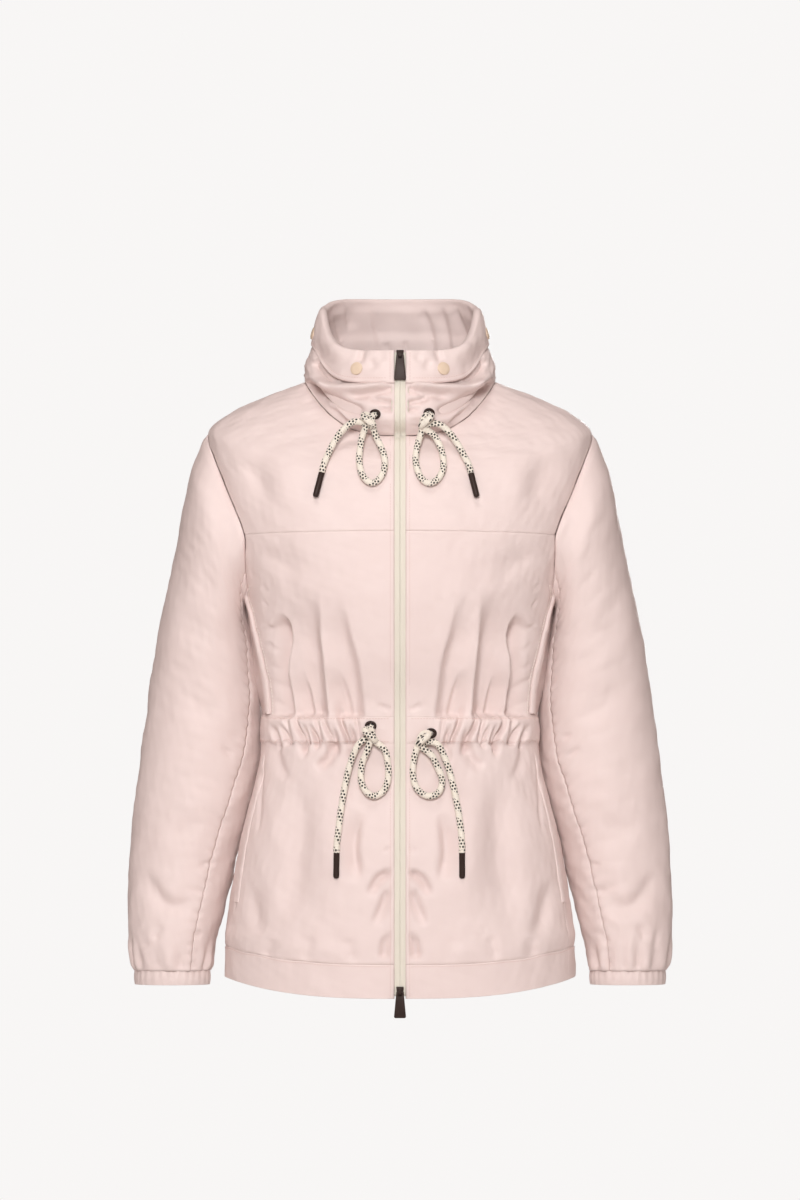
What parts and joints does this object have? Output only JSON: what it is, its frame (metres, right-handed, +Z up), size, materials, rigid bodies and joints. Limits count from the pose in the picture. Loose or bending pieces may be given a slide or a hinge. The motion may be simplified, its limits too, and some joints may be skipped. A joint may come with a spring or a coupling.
{
  "type": "hooded jacket",
  "caption": "Light zip-front jacket worn upright: funnel collar with a snapped band, drawn waist, set-in sleeves with elastic cuffs and corded neck and waist.",
  "frame": {"origin": "centre of the wearer's neck opening, at the height where the shoulder line meets the collar at the sides", "axes": "+Z up along the wearer's body, -Y the way the zip front faces, +X to the right as seen from the front"},
  "size_m": [0.598, 0.2358, 0.7912],
  "materials": {
    "shell_cloth": "fine plain weave, soft matt",
    "zip_tape": "woven tape, matt",
    "dark_metal": "satin lacquer",
    "snap_cap": "satin lacquer",
    "cord_braid": "round braid, matt"
  },
  "bodies": {
    "jacket": {"front_yoke_left": "shell_cloth", "front_yoke_right": "shell_cloth", "front_chest_left": "shell_cloth", "front_chest_right": "shell_cloth", "side_pleat_strip_left": "shell_cloth", "side_pleat_strip_right": "shell_cloth", "waist_channel_front_left": "shell_cloth", "waist_channel_front_right": "shell_cloth", "waist_channel_back": "shell_cloth", "front_skirt_left": "shell_cloth", "front_skirt_right": "shell_cloth", "pocket_welt_left": "shell_cloth", "pocket_welt_right": "shell_cloth", "hem_band_front_left": "shell_cloth", "hem_band_front_right": "shell_cloth", "hem_band_back": "shell_cloth", "back_upper": "shell_cloth", "back_lower": "shell_cloth", "sleeve_top_left": "shell_cloth", "sleeve_top_right": "shell_cloth", "sleeve_under_left": "shell_cloth", "sleeve_under_right": "shell_cloth", "cuff_left": "shell_cloth", "cuff_right": "shell_cloth", "collar_funnel": "shell_cloth", "collar_band": "shell_cloth", "zip_tape_left": "zip_tape", "zip_tape_right": "zip_tape", "zip_slider_top": "dark_metal", "zip_slider_bottom": "dark_metal", "snap_front_left": "snap_cap", "snap_front_right": "snap_cap", "snap_side_left": "snap_cap", "snap_side_right": "snap_cap", "eyelet_neck_left": "dark_metal", "eyelet_neck_right": "dark_metal", "eyelet_waist_left": "dark_metal", "eyelet_waist_right": "dark_metal", "knot_neck_left": "cord_braid", "knot_neck_right": "cord_braid", "knot_waist_left": "cord_braid", "knot_waist_right": "cord_braid", "loop_neck_left": "cord_braid", "loop_neck_right": "cord_braid", "loop_waist_left": "cord_braid", "loop_waist_right": "cord_braid", "tail_neck_left": "cord_braid", "tail_neck_right": "cord_braid", "tail_waist_left": "cord_braid", "tail_waist_right": "cord_braid", "aglet_neck_left": "dark_metal", "aglet_neck_right": "dark_metal", "aglet_waist_left": "dark_metal", "aglet_waist_right": "dark_metal"},
    "pull_top": {"zip_pull_top": "dark_metal"},
    "pull_bottom": {"zip_pull_bottom": "dark_metal"}
  },
  "joints": [
    {"name": "pull_top_swing", "type": "hinge", "parent": "jacket", "child": "pull_top", "pos_m": [0, -0.08468, 0.03118], "axis": [-1, 0, 0], "range_deg": [0, 150]},
    {"name": "pull_bottom_swing", "type": "hinge", "parent": "jacket", "child": "pull_bottom", "pos_m": [0, -0.1191, -0.66394], "axis": [-1, 0, 0], "range_deg": [0, 150]}
  ]
}
